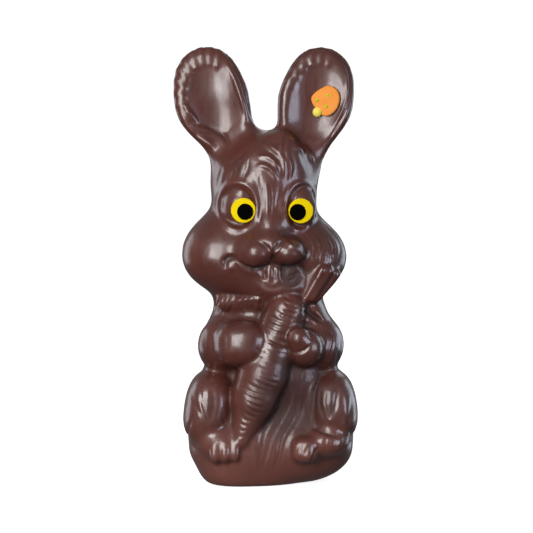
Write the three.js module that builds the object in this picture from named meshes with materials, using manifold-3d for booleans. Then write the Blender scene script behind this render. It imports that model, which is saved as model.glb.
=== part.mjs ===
// Moulded chocolate bunny holding a carrot, with sugar eyes and a sugar egg on one ear.
// Millimetres, +Z up, face towards -Y. Right and left are the bunny's own. The foot stands on Z = 0.
import * as THREE from "three";
import { mergeVertices } from "three/addons/utils/BufferGeometryUtils.js";
import Module from "manifold-3d";

const wasm = await Module();
wasm.setup();

// Driving dimensions.
const bodyWidth = 76;
const bellyDepth = 41;
const footDepth = 49;
const earWidth = 32.6;
const earThickness = 13;
const earLength = 42.8;
const carrotThickness = 23.6;
const footEdgeRounding = 1.5;
const eyeDiameter = 11.3;
const eyeThickness = 1.8;
const pupilDiameter = 7.4;
const pupilHeight = 0.5;
const eggThickness = 3;
const dotDiameter = 1.5;
const beadDiameter = 4.6;
const seatGap = 0.3;
const seatCutDepth = 12;
const toppingSink = 0.4;
const dotSink = 0.05;

// Shell resolution.
const shellColumns = 38;
const shellRows = 27;
const shellCapRows = 6;
const earColumns = 20;
const earRows = 10;
const earCapRows = 4;
const discColumns = 24;
const lobeColumns = 16;
const lobeRows = 10;
const thinLobe = 3;
const smallLobe = 6;
const softLobe = 12;
const bodySink = 0.5;
const footSnap = 0.002;
const lobeReach = 1.45;
const rayStep = 0.8;
const raySteps = 75;
const halvings = 22;

// The form is built from soft lobes. An egg is a rounded block, a stalk a tapered rod,
// a hollow takes material away, and blend is the width of the soft joint to the lobes before.
const turned = (lean, pitch, yaw) => {
  const about = new THREE.Euler(THREE.MathUtils.degToRad(pitch), THREE.MathUtils.degToRad(lean),
    THREE.MathUtils.degToRad(yaw), "ZYX");
  return new THREE.Quaternion().setFromEuler(about).invert();
};

const egg = (at, size, blend, { power = 2, lean = 0, pitch = 0, yaw = 0 } = {}) => ({
  kind: "egg",
  at: new THREE.Vector3(...at),
  size,
  blend,
  power,
  back: turned(lean, pitch, yaw),
});

const stalk = (from, to, startRadius, endRadius, blend, deep = 1) => ({
  kind: "stalk",
  at: new THREE.Vector3(...from),
  along: new THREE.Vector3(...to).sub(new THREE.Vector3(...from)),
  startRadius,
  endRadius,
  blend,
  deep,
});

const hollow = (lobe) => ({ ...lobe, hollow: true });

const trunk = [
  egg([1.3, 0, 18.6], [bodyWidth / 2, footDepth / 2, 20], 1, { power: 2.5, yaw: 8 }),
  egg([-8, -4.5, 9], [24, 18, 12.5], 3, { power: 2.6, yaw: 10 }),
  egg([1, 2, 36], [bodyWidth / 2, bellyDepth / 2, 26], 8),
  egg([0.8, 2, 64], [31.2, 18.5, 25], 6),
  egg([0, 2, 86], [24.3, 17, 16], 8),
  egg([1, 11, 42], [28, 16, 36], 8),
  egg([7.5, -8, 40], [17, 13, 22], 4, { pitch: 4, power: 3, yaw: 5 }),
];
const tail = [egg([1, 24.5, 24], [9.5, 9.5, 9.5], 3)];
const thighs = [
  egg([-27, -9, 35.5], [11.6, 17.5, 17.4], 2.5, { lean: 9, power: 2.4 }),
  egg([29.8, -7.5, 36], [11.2, 17.5, 16.8], 2.5, { lean: -8, power: 2.4 }),
];
const head = [
  egg([-1.9, 1, 138], [24.6, 19.5, 24], 8),
  egg([-2, 1, 111], [29.5, 21, 18.5], 12),
  egg([-21.5, -5, 105.5], [18, 18, 16.4], 10),
  egg([21, -4, 104.5], [15.2, 17, 14.2], 9),
  egg([-3, -8.5, 100.5], [22, 15.5, 13], 8),
];
const earSize = [earWidth / 2, earThickness / 2, earLength / 2];
const ears = [
  egg([-26.9, 3.5, 179], earSize, 3, { lean: -9, pitch: -9, power: 2.15 }),
  stalk([-24.4, 2.5, 173], [-13.5, 1, 149.5], 15.4, 11, 6, 0.42),
  egg([23, 3.5, 179], earSize, 3, { lean: 10, pitch: -9, power: 2.15 }),
  stalk([20.6, 2.5, 173], [13.6, 1, 149.5], 15.6, 11, 6, 0.42),
  hollow(egg([-26.6, -10.6, 177.5], [20, 12, 28], 3, { lean: -8, pitch: -9 })),
  hollow(stalk([-23.2, -6, 167], [-14.8, -13, 152], 12, 8, 5, 0.6)),
  hollow(egg([23, -10.6, 177.5], [19.6, 12, 28], 3, { lean: 8, pitch: -9 })),
  hollow(stalk([20.6, -6, 167], [16.4, -13, 154], 11.4, 7.6, 5, 0.6)),
];
const brows = [
  egg([-2.5, -9, 140], [16, 10, 15], 8),
  egg([8, -9, 151.5], [7, 7.5, 11], 6, { lean: -15 }),
  egg([1, -13, 123.5], [9, 8, 17], 6),
  hollow(egg([-13.5, -24.5, 129], [8.4, 5, 10.6], 2.5, { lean: 6 })),
  hollow(egg([14.5, -23.5, 129], [7, 5, 10.6], 2.5, { lean: -8 })),
  egg([-13, -12.5, 127.5], [7.6, 7.5, 9.6], 1.5),
  egg([15, -11.5, 127.5], [6.6, 7.5, 9.6], 1.5),
];
const muzzle = [
  egg([1, -17, 117], [6.5, 8, 8], 6),
  egg([-5.2, -22, 107.8], [7.6, 8.5, 7], 6),
  egg([9.3, -22, 108], [7.6, 8.5, 6.4], 2.5),
  egg([1.4, -24.4, 112.6], [5.8, 4.8, 4.2], 3),
  egg([2, -27.2, 110.4], [2.6, 3, 3.8], 1.5),
  egg([2, -13.5, 91.5], [13, 11, 7], 5),
  hollow(egg([3, -29.5, 98.4], [8.6, 7.5, 4.6], 2.5)),
  egg([0.5, -21, 98.9], [1.9, 3.4, 3.6], 0.6, { power: 3.5 }),
  egg([3.9, -21, 98.9], [1.9, 3.4, 3.6], 0.6, { power: 3.5 }),
  egg([-16.6, -19.5, 101], [2.8, 4.5, 2.6], 1.2),
];
const chest = [
  stalk([-20.3, -10, 82.4], [-7.2, -15.5, 83.6], 4.8, 5.2, 2.5),
  egg([17.6, -9, 77], [9.4, 10.5, 10], 6),
  egg([-6, -10, 76], [12.5, 11, 9], 4),
  egg([-22, -8.5, 64], [10.2, 12.5, 12.2], 4),
  egg([-14.6, -18, 66], [10, 11, 10.6], 3, { lean: -6, power: 2.2 }),
  stalk([-12, -20.5, 67], [-6, -22.5, 68.4], 7.6, 5.2, 2.5),
  egg([25, -8, 64.5], [9.8, 12.5, 12], 5),
  stalk([24, -12, 66], [16.5, -17, 63.5], 8.5, 7.6, 3),
  egg([16.8, -23, 64.6], [8, 7, 8.4], 3),
  egg([14, -26.2, 69.2], [5.2, 4.6, 5.2], 1.5),
];
const carrot = [
  stalk([8.4, -17.5, 81], [1.4, -18.5, 61], 9.6, 10, 1.5),
  stalk([1.4, -18.5, 61], [-1.8, -18.5, 51.5], 10, carrotThickness / 2, 1.5),
  stalk([-1.8, -18.5, 51.5], [-5.8, -19.5, 40.5], carrotThickness / 2, 11.1, 1.5),
  stalk([-5.8, -19.5, 40.5], [-12, -24, 22.8], 11.1, 3.8, 1.5),
];
const greens = [
  stalk([17.8, -15, 87], [25, -14, 97], 4.2, 5.2, 2, 0.85),
  stalk([14.8, -19.3, 87.5], [21.6, -20, 99.6], 1.6, 2.1, 0.7),
  stalk([17.4, -20, 87], [24.6, -20.6, 99.8], 1.6, 2.1, 0.7),
  stalk([20, -19.6, 86.6], [27.6, -20, 99.4], 1.6, 2.1, 0.7),
  stalk([22.2, -17.4, 86.6], [30.4, -16.8, 97.6], 2, 2.8, 0.9),
];
const feet = [
  egg([-21, -17.5, 20], [11, 9.8, 8.2], 3, { lean: 8 }),
  egg([-24, -24.6, 17], [2.4, 5.6, 4.4], 0.8),
  egg([-19.6, -25.2, 17.4], [2.4, 5.6, 4.6], 0.8),
  egg([-15.2, -24.8, 17.8], [2.4, 5.6, 4.6], 0.8),
  egg([30, -16.5, 20.5], [9.6, 11.5, 8], 2.5),
  egg([18.2, -20.5, 19.3], [7.4, 9.5, 7], 2),
];
const softBody = [...trunk, ...head, ...brows];
const softEars = [...head, ...ears];
const fullLobes = [...thighs, ...tail, ...muzzle, ...chest, ...carrot, ...greens, ...feet];

// Distance from a point to a lobe, below zero inside it.
const local = new THREE.Vector3();
const eggDistance = (point, { at, size, power, back }) => {
  local.subVectors(point, at).applyQuaternion(back);
  const parts = [local.x, local.y, local.z].map((value, i) => Math.abs(value) / size[i] + 1e-6);
  const level = parts.reduce((sum, part) => sum + part ** power, 0) ** (1 / power);
  const slopes = parts.map((part, i) => (part / level) ** (power - 1) / size[i]);
  return (level - 1) / Math.hypot(...slopes);
};

const stalkDistance = (point, { at, along, startRadius, endRadius, deep }) => {
  local.subVectors(point, at);
  const flatLength = along.x ** 2 + along.z ** 2 + (along.y / deep) ** 2;
  const reach = local.x * along.x + local.z * along.z + (local.y * along.y) / deep ** 2;
  const share = THREE.MathUtils.clamp(reach / flatLength, 0, 1);
  const across = local.x - along.x * share;
  const up = local.z - along.z * share;
  const depth = (local.y - along.y * share) / deep;
  const far = Math.hypot(across, up, depth) + 1e-6;
  const slope = Math.hypot(across / far, up / far, depth / far / deep);
  return (far - THREE.MathUtils.lerp(startRadius, endRadius, share)) / slope;
};

const softMin = (first, second, blend) => {
  const overlap = Math.max(blend - Math.abs(first - second), 0) / blend;
  return Math.min(first, second) - (overlap * overlap * blend) / 4;
};

const lobeDistance = (point, lobe) => (
  lobe.kind === "egg" ? eggDistance(point, lobe) : stalkDistance(point, lobe));

const distance = (point, lobes) => {
  let result = 1000;
  for (const lobe of lobes) {
    const own = lobeDistance(point, lobe);
    result = lobe.hollow ? -softMin(-result, own, lobe.blend) : softMin(result, own, lobe.blend);
  }
  return -softMin(-result, point.z, footEdgeRounding);
};

// Solid geometry in and out of the joining library.
const toManifold = (geometry) => {
  const bare = geometry.index ? geometry.toNonIndexed() : geometry.clone();
  bare.deleteAttribute("normal");
  bare.deleteAttribute("uv");
  const merged = mergeVertices(bare, 1e-4);
  const positions = new Float32Array(merged.attributes.position.array);
  const corners = new Uint32Array(merged.index.array);
  return new wasm.Manifold(new wasm.Mesh({ numProp: 3, vertProperties: positions, triVerts: corners }));
};

const toGeometry = (solid) => {
  const mesh = solid.getMesh();
  const geometry = new THREE.BufferGeometry();
  geometry.setAttribute("position", new THREE.BufferAttribute(new Float32Array(mesh.vertProperties), 3));
  geometry.setIndex(new THREE.BufferAttribute(new Uint32Array(mesh.triVerts), 1));
  geometry.computeVertexNormals();
  return geometry;
};

// Length along a ray at which a field crosses zero.
// Inward looks for the outermost surface, outward for the first one within reach.
const findSurface = (start, ray, field, inward, reach) => {
  const point = new THREE.Vector3();
  const at = (length) => field(point.copy(start).addScaledVector(ray, length));
  const step = inward ? -rayStep : rayStep;
  let length = inward ? rayStep * raySteps : rayStep;
  while (inward ? at(length) > 0 && length > rayStep : at(length) < 0 && length < reach) {
    length += step;
  }
  if (!inward && length >= reach) {
    return reach;
  }
  let inside = inward ? length : length - rayStep;
  let outside = inside + rayStep;
  for (let i = 0; i < halvings; i += 1) {
    const middle = (inside + outside) / 2;
    if (at(middle) < 0) {
      inside = middle;
    } else {
      outside = middle;
    }
  }
  return inside;
};

// A capsule whose skin is pushed along its own rays to the surface of the lobes.
const wrappedCapsule = ({ from, to, columns, rows, capRows, squash, lobes, inward, reach }) => {
  const start = new THREE.Vector3(...from);
  const axis = new THREE.Vector3(...to).sub(start);
  const span = axis.length();
  const upright = new THREE.Vector3(0, 1, 0);
  const turn = new THREE.Quaternion().setFromUnitVectors(upright, axis.clone().normalize());
  const geometry = new THREE.CapsuleGeometry(1, span, capRows, columns, rows);
  const position = geometry.attributes.position;
  const vertex = new THREE.Vector3();
  const ray = new THREE.Vector3();
  const spine = new THREE.Vector3();
  for (let i = 0; i < position.count; i += 1) {
    vertex.fromBufferAttribute(position, i);
    const height = THREE.MathUtils.clamp(vertex.y, -span / 2, span / 2);
    ray.set(vertex.x, vertex.y - height, vertex.z * squash).normalize().applyQuaternion(turn);
    spine.copy(start).addScaledVector(axis, height / span + 0.5);
    spine.addScaledVector(ray, findSurface(spine, ray, (point) => distance(point, lobes), inward, reach));
    spine.z = Math.abs(spine.z) < footSnap ? 0 : spine.z;
    position.setXYZ(i, spine.x, spine.y, spine.z);
  }
  return toManifold(geometry);
};

const bodySolid = wrappedCapsule({
  from: [0, -1, 14],
  to: [-1, -1, 136],
  columns: shellColumns,
  rows: shellRows,
  capRows: shellCapRows,
  squash: 1,
  lobes: softBody,
  inward: true,
});

const earSolid = (root, tip) => wrappedCapsule({
  from: root,
  to: tip,
  columns: earColumns,
  rows: earRows,
  capRows: earCapRows,
  squash: 0.4,
  lobes: softEars,
  inward: false,
  reach: 24,
});

const rightEar = earSolid([-15, 3.5, 150], [-27, 4, 183]);
const leftEar = earSolid([12.5, 3.5, 150], [23.5, 4, 183]);

// Lobes that stand out of the soft body. The large ones have a soft foot that runs into it.
const eggSolid = (lobe) => {
  const largest = Math.max(...lobe.size);
  const fewer = largest < smallLobe ? 6 : 0;
  const geometry = new THREE.SphereGeometry(1, lobeColumns - fewer, lobeRows - fewer / 2);
  geometry.scale(...lobe.size).applyQuaternion(lobe.back.clone().invert());
  if (largest < softLobe) {
    return toManifold(geometry.translate(lobe.at.x, lobe.at.y, lobe.at.z));
  }
  const field = (point) => (
    softMin(distance(point, softBody) + bodySink, lobeDistance(point, lobe), lobe.blend));
  const position = geometry.attributes.position;
  const ray = new THREE.Vector3();
  for (let i = 0; i < position.count; i += 1) {
    ray.fromBufferAttribute(position, i);
    const reach = ray.length() * lobeReach;
    ray.normalize();
    ray.multiplyScalar(findSurface(lobe.at, ray, field, false, reach)).add(lobe.at);
    position.setXYZ(i, ray.x, ray.y, ray.z);
  }
  return toManifold(geometry);
};

const stalkSolid = ({ at, along, startRadius, endRadius, deep }) => {
  const stretched = new THREE.Vector3(along.x, along.y / deep, along.z);
  const profile = [new THREE.Vector2(0, -startRadius)];
  for (let i = 1; i <= 4; i += 1) {
    const angle = (i / 4 - 1) * (Math.PI / 2);
    profile.push(new THREE.Vector2(startRadius * Math.cos(angle), startRadius * Math.sin(angle)));
  }
  for (let i = 0; i < 4; i += 1) {
    const angle = (i / 4) * (Math.PI / 2);
    const height = stretched.length() + endRadius * Math.sin(angle);
    profile.push(new THREE.Vector2(endRadius * Math.cos(angle), height));
  }
  profile.push(new THREE.Vector2(0, stretched.length() + endRadius));
  const columns = Math.max(startRadius, endRadius) < thinLobe ? lobeColumns / 2 : lobeColumns;
  const geometry = new THREE.LatheGeometry(profile, columns);
  const upright = new THREE.Vector3(0, 1, 0);
  geometry.applyQuaternion(new THREE.Quaternion().setFromUnitVectors(upright, stretched.normalize()));
  return toManifold(geometry.scale(1, deep, 1).translate(at.x, at.y, at.z));
};

const lobeSolid = (lobe) => (lobe.kind === "egg" ? eggSolid(lobe) : stalkSolid(lobe));

// Sugar pieces lie flat against the chocolate and face -Y.
const domedDisc = (diameter, thickness, edge) => {
  const radius = diameter / 2;
  const profile = [new THREE.Vector2(0, 0), new THREE.Vector2(radius - edge, 0)];
  profile.push(new THREE.Vector2(radius, edge), new THREE.Vector2(radius, thickness - edge));
  profile.push(new THREE.Vector2(radius - edge, thickness), new THREE.Vector2(0, thickness));
  return new THREE.LatheGeometry(profile, discColumns);
};

const eggOutline = new THREE.Shape();
eggOutline.moveTo(-6.3, 0.6);
eggOutline.bezierCurveTo(-6.3, 3, -2.5, 5.2, 0.6, 6.6);
eggOutline.bezierCurveTo(3.2, 7.2, 6.6, 5, 6.9, 1.4);
eggOutline.bezierCurveTo(7.2, -2.6, 4.4, -6.4, 1.6, -7.2);
eggOutline.bezierCurveTo(-0.8, -7.6, -2, -6.6, -3.2, -4.6);
eggOutline.bezierCurveTo(-4.4, -3.4, -6.3, -1.8, -6.3, 0.6);

const eggSlab = (grow, thickness, edge) => new THREE.ExtrudeGeometry(eggOutline, {
  depth: thickness - 2 * edge,
  bevelThickness: edge,
  bevelSize: edge,
  bevelOffset: grow - edge,
  bevelSegments: 2,
  curveSegments: 5,
}).translate(0, 0, edge);

// Places a piece drawn in X and Y, thick along its own +Z, so that its +Z looks out along -Y.
const facingFront = (solid, at, tilt, spin) => {
  const matrix = new THREE.Matrix4().makeTranslation(...at)
    .multiply(new THREE.Matrix4().makeRotationZ(THREE.MathUtils.degToRad(spin)))
    .multiply(new THREE.Matrix4().makeRotationX(THREE.MathUtils.degToRad(90 - tilt)));
  return solid.transform(matrix.elements);
};

const candyEye = (pupilAcross, pupilUp) => {
  const disc = toManifold(domedDisc(eyeDiameter, eyeThickness, 0.5).rotateX(Math.PI / 2));
  const pupil = domedDisc(pupilDiameter, pupilHeight + toppingSink, 0.2).rotateX(Math.PI / 2)
    .translate(pupilAcross, pupilUp, eyeThickness - toppingSink);
  return disc.add(toManifold(pupil));
};

const eyeSeat = () => toManifold(
  domedDisc(eyeDiameter + 2 * seatGap, seatCutDepth, 0.3).rotateX(Math.PI / 2).translate(0, 0, -seatGap));

const eggDots = [[1.3, 2.1], [-3.5, 0], [0.7, -2.9]];
const eggPiece = () => eggDots.reduce((solid, [across, up]) => {
  const dot = new THREE.SphereGeometry(dotDiameter / 2, 10, 6).scale(1, 1, 0.6);
  return solid.add(toManifold(dot.translate(across, up, eggThickness - dotSink)));
}, toManifold(eggSlab(0, eggThickness, 0.9)));

const eggSeat = () => toManifold(eggSlab(seatGap, seatCutDepth, 0.1).translate(0, 0, -seatGap));
const beadPiece = (grow) => toManifold(new THREE.SphereGeometry(beadDiameter / 2 + grow, 16, 10));

const rightEyePlace = [[-11, -19.2, 126.7], 0, -6];
const leftEyePlace = [[14.7, -18.2, 126.4], 0, 8];
const eggPlace = [[26.3, 1.8, 175.7], 4, -8];
const beadPlace = [22.7, -0.1, 170.4];

const chocolate = fullLobes.reduce((solid, lobe) => (
  lobe.hollow ? solid.subtract(lobeSolid(lobe)) : solid.add(lobeSolid(lobe))), bodySolid)
  .add(rightEar)
  .add(leftEar)
  .subtract(facingFront(eyeSeat(), ...rightEyePlace))
  .subtract(facingFront(eyeSeat(), ...leftEyePlace))
  .subtract(facingFront(eggSeat(), ...eggPlace))
  .subtract(beadPiece(seatGap).translate(beadPlace));

const sugarEgg = facingFront(eggPiece(), ...eggPlace).subtract(beadPiece(seatGap).translate(beadPlace));

// Pieces and their materials.
const chocolateMaterial = new THREE.MeshStandardMaterial({ color: 0x5a3229, roughness: 0.25 });
chocolateMaterial.name = "dark_chocolate";
const yellowMaterial = new THREE.MeshStandardMaterial({ color: 0xffe10f, roughness: 0.5 });
yellowMaterial.name = "yellow_sugar";
const orangeMaterial = new THREE.MeshStandardMaterial({ color: 0xffa04b, roughness: 0.5 });
orangeMaterial.name = "orange_sugar";
const paleYellowMaterial = new THREE.MeshStandardMaterial({ color: 0xfaf05a, roughness: 0.5 });
paleYellowMaterial.name = "pale_yellow_sugar";

const group = new THREE.Group();
group.name = "chocolate_bunny";

const addPiece = (name, solid, material) => {
  const mesh = new THREE.Mesh(toGeometry(solid), material);
  mesh.name = name;
  group.add(mesh);
};

addPiece("bunny_body", chocolate, chocolateMaterial);
addPiece("eye_right", facingFront(candyEye(0.9, -0.6), ...rightEyePlace), yellowMaterial);
addPiece("eye_left", facingFront(candyEye(-1.6, -0.5), ...leftEyePlace), yellowMaterial);
addPiece("ear_egg", sugarEgg, orangeMaterial);
addPiece("ear_bead", beadPiece(0).translate(beadPlace), paleYellowMaterial);

export default group;
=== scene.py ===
import math

import bmesh
import bpy
import numpy as np
from mathutils import Matrix, Vector


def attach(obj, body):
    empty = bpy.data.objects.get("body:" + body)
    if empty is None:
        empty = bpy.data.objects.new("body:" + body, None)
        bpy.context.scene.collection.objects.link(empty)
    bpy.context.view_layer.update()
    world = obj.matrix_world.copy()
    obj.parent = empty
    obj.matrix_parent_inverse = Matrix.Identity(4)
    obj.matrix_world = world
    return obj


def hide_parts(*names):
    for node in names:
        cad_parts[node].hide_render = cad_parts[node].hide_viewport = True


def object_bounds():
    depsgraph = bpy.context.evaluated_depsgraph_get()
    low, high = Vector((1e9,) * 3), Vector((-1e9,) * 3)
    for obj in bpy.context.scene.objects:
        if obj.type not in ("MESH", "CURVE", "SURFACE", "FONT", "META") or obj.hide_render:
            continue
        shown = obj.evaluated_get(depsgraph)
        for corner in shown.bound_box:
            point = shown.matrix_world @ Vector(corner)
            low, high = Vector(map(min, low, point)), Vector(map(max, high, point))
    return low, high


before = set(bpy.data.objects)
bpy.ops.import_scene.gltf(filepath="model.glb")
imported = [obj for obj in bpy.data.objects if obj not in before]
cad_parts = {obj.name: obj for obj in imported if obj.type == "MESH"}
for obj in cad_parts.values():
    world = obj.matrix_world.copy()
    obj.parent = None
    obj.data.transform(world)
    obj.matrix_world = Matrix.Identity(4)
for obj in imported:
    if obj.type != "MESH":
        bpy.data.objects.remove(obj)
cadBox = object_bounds()
mm = 0.001
print("frame loaded")

cameraSettings = {
    "elevation": 5,  # degrees above the table
    "distance": 1.2,
    "target": (-0.0007, 0, 0.0995),
    "sensor": 36,
    "lens": 176.2,
    "nearest": 0.01,
    "frame": 533,  # pixels across the photo
}
pixelSize = 0.46  # mm in one photo pixel


def makeCamera():
    tilt = math.radians(cameraSettings["elevation"])
    data = bpy.data.cameras.new("camera")
    data.sensor_width = cameraSettings["sensor"]
    data.lens = cameraSettings["lens"]
    data.clip_start = cameraSettings["nearest"]
    camera = bpy.data.objects.new("camera", data)
    back = Vector((0, -math.cos(tilt), math.sin(tilt)))
    camera.location = Vector(cameraSettings["target"]) + back * cameraSettings["distance"]
    camera.rotation_euler = (math.radians(90) - tilt, 0, 0)
    bpy.context.scene.collection.objects.link(camera)
    bpy.context.scene.camera = camera


makeCamera()

# ---- soft forms: eggs, stalks and hollows that run into each other, in millimetres

skinSettings = {
    "farAway": 1000.0,  # the distance where no form is near
    "room": 9,  # how far past its reach a form still counts
    "slopeStep": 0.04,
    "longestMove": 2.5,
    "eggDetail": 4,
    "stalkDetail": 3,
    "stalkSteps": 8,
}


def turned(lean, pitch, yaw):
    angles = [math.radians(value) for value in (pitch, lean, yaw)]
    return (Matrix.Rotation(angles[2], 3, "Z") @ Matrix.Rotation(angles[1], 3, "Y")
            @ Matrix.Rotation(angles[0], 3, "X"))


def egg(at, size, blend, power=2, lean=0, pitch=0, yaw=0):
    return {"kind": "egg", "at": np.array(at, float), "size": np.array(size, float), "blend": blend,
            "power": power, "turn": turned(lean, pitch, yaw), "reach": max(size), "hollow": False}


def stalk(start, end, startRadius, endRadius, blend, deep=1.0):
    along = np.array(end, float) - np.array(start, float)
    return {"kind": "stalk", "at": np.array(start, float), "along": along, "blend": blend,
            "startRadius": startRadius, "endRadius": endRadius, "deep": deep,
            "reach": float(np.linalg.norm(along)) + max(startRadius, endRadius), "hollow": False}


def hollow(lobe):
    return {**lobe, "hollow": True}


def eggDistance(points, lobe):
    local = (points - lobe["at"]) @ np.array(lobe["turn"])
    parts = np.abs(local) / lobe["size"] + 1e-6
    level = (parts ** lobe["power"]).sum(axis=1) ** (1 / lobe["power"])
    slope = (parts / level[:, None]) ** (lobe["power"] - 1) / lobe["size"]
    return (level - 1) / np.linalg.norm(slope, axis=1)


def stalkDistance(points, lobe):
    squeeze = np.array((1, 1 / lobe["deep"], 1))
    local = (points - lobe["at"]) * squeeze
    along = lobe["along"] * squeeze
    share = np.clip(local @ along / (along @ along), 0, 1)
    off = local - share[:, None] * along
    far = np.linalg.norm(off, axis=1) + 1e-6
    slope = np.linalg.norm(off / far[:, None] * squeeze, axis=1)
    radius = lobe["startRadius"] + (lobe["endRadius"] - lobe["startRadius"]) * share
    return (far - radius) / slope


def softMin(first, second, blend):
    overlap = np.maximum(blend - np.abs(first - second), 0) / blend
    return np.minimum(first, second) - overlap * overlap * blend / 4


def depthIn(points, lobes, footRounding):
    result = np.full(len(points), skinSettings["farAway"])
    for lobe in lobes:
        room = lobe["reach"] + lobe["blend"] + skinSettings["room"]
        near = np.flatnonzero((np.abs(points - lobe["at"]) < room).all(axis=1))
        measure = eggDistance if lobe["kind"] == "egg" else stalkDistance
        own = measure(points[near], lobe)
        if lobe["hollow"]:
            result[near] = -softMin(-result[near], own, lobe["blend"])
        else:
            result[near] = softMin(result[near], own, lobe["blend"])
    return -softMin(-result, points[:, 2], footRounding)


def slopeIn(points, here, lobes, footRounding):
    step = skinSettings["slopeStep"]
    sides = [(depthIn(points + step * axis, lobes, footRounding) - here) / step for axis in np.eye(3)]
    return np.stack(sides, axis=1)


def settle(points, lobes, footRounding, rounds):
    # walks every point to the surface of the lobes, and gives the outward direction there
    furthest = skinSettings["longestMove"]
    for _ in range(rounds):
        here = depthIn(points, lobes, footRounding)
        slope = slopeIn(points, here, lobes, footRounding)
        size = (slope * slope).sum(axis=1) + 1e-6
        move = np.clip(here / size, -furthest, furthest)
        points = points - slope * move[:, None]
    here = depthIn(points, lobes, footRounding)
    slope = slopeIn(points, here, lobes, footRounding)
    return points, slope / (np.linalg.norm(slope, axis=1)[:, None] + 1e-9)


def lobeShapes(lobes):
    # every solid lobe as a rough closed shape in one bmesh, in metres
    rough = bmesh.new()
    for lobe in lobes:
        if lobe["hollow"]:
            continue
        if lobe["kind"] == "egg":
            place = Matrix.Translation(Vector(lobe["at"] * mm)) @ lobe["turn"].to_4x4()
            place = place @ Matrix.Diagonal(Vector((*(lobe["size"] * mm), 1)))
            bmesh.ops.create_icosphere(
                rough, subdivisions=skinSettings["eggDetail"], radius=1, matrix=place)
            continue
        steps = skinSettings["stalkSteps"]
        for i in range(steps + 1):
            share = i / steps
            middle = lobe["at"] + lobe["along"] * share
            radius = lobe["startRadius"] + (lobe["endRadius"] - lobe["startRadius"]) * share
            size = Vector((radius * mm, radius * lobe["deep"] * mm, radius * mm, 1))
            place = Matrix.Translation(Vector(middle * mm)) @ Matrix.Diagonal(size)
            bmesh.ops.create_icosphere(
                rough, subdivisions=skinSettings["stalkDetail"], radius=1, matrix=place)
    return rough


def remeshed(mesh, voxel):
    # one closed even skin round everything in the mesh
    holder = bpy.data.objects.new("holder", mesh)
    bpy.context.scene.collection.objects.link(holder)
    skin = holder.modifiers.new("skin", "REMESH")
    skin.mode = "VOXEL"
    skin.voxel_size = voxel
    bpy.context.view_layer.update()
    finished = holder.evaluated_get(bpy.context.evaluated_depsgraph_get())
    made = bpy.data.meshes.new_from_object(finished)
    bpy.data.objects.remove(holder)
    return made


def readPoints(mesh):
    places = np.empty(len(mesh.vertices) * 3)
    mesh.vertices.foreach_get("co", places)
    return places.reshape(-1, 3) / mm


def writePoints(mesh, points):
    mesh.vertices.foreach_set("co", (points * mm).ravel())
    mesh.update()


# ---- relief: raised and sunk strokes laid over the form, seen from one side

reliefSettings = {
    "seed": 7,
    "curveParts": 6,
    "combParts": 3,
    "ringPoints": 13,
    "spacing": (-0.25, 0.25),  # how far a strand strays from its place, in gaps
    "uneven": 0.12,  # how much of its length a strand may start or end early
    "ownWidth": (0.75, 1.25),
    "ownHeight": (0.6, 1.15),
    "facing": (0.08, 0.3),  # a surface takes strokes from here on, and takes them fully this much later
    "reach": 3,  # widths to the side, where a stroke has run out
    "fade": 0.35,  # share of a stroke over which each end runs out
    "fadeCurve": 0.8,
}


def asPhotographed(points):
    # where the camera sees each point, in photo pixels, and the way towards the camera
    tilt = math.radians(cameraSettings["elevation"])
    back = np.array((0, -math.cos(tilt), math.sin(tilt)))
    up = np.array((0, math.sin(tilt), math.cos(tilt)))
    local = points - np.array(cameraSettings["target"]) / mm
    depth = cameraSettings["distance"] / mm - local @ back
    zoom = cameraSettings["frame"] * cameraSettings["lens"] / cameraSettings["sensor"] / depth
    middle = cameraSettings["frame"] / 2
    return np.stack([middle + local[:, 0] * zoom, middle - local @ up * zoom], axis=1), back


def smoothLine(spots, parts=reliefSettings["curveParts"]):
    # a curve through the spots
    spots = np.array(spots, float)
    if len(spots) < 3:
        return spots
    ends = np.vstack([2 * spots[0] - spots[1], spots, 2 * spots[-1] - spots[-2]])
    line = []
    for i in range(1, len(ends) - 2):
        before, first, second, after = ends[i - 1:i + 3]
        for t in np.linspace(0, 1, parts, endpoint=False):
            line.append(0.5 * (2 * first + (second - before) * t
                               + (2 * before - 5 * first + 4 * second - after) * t ** 2
                               + (3 * first - before - 3 * second + after) * t ** 3))
    return np.array([*line, spots[-1]])


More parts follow.
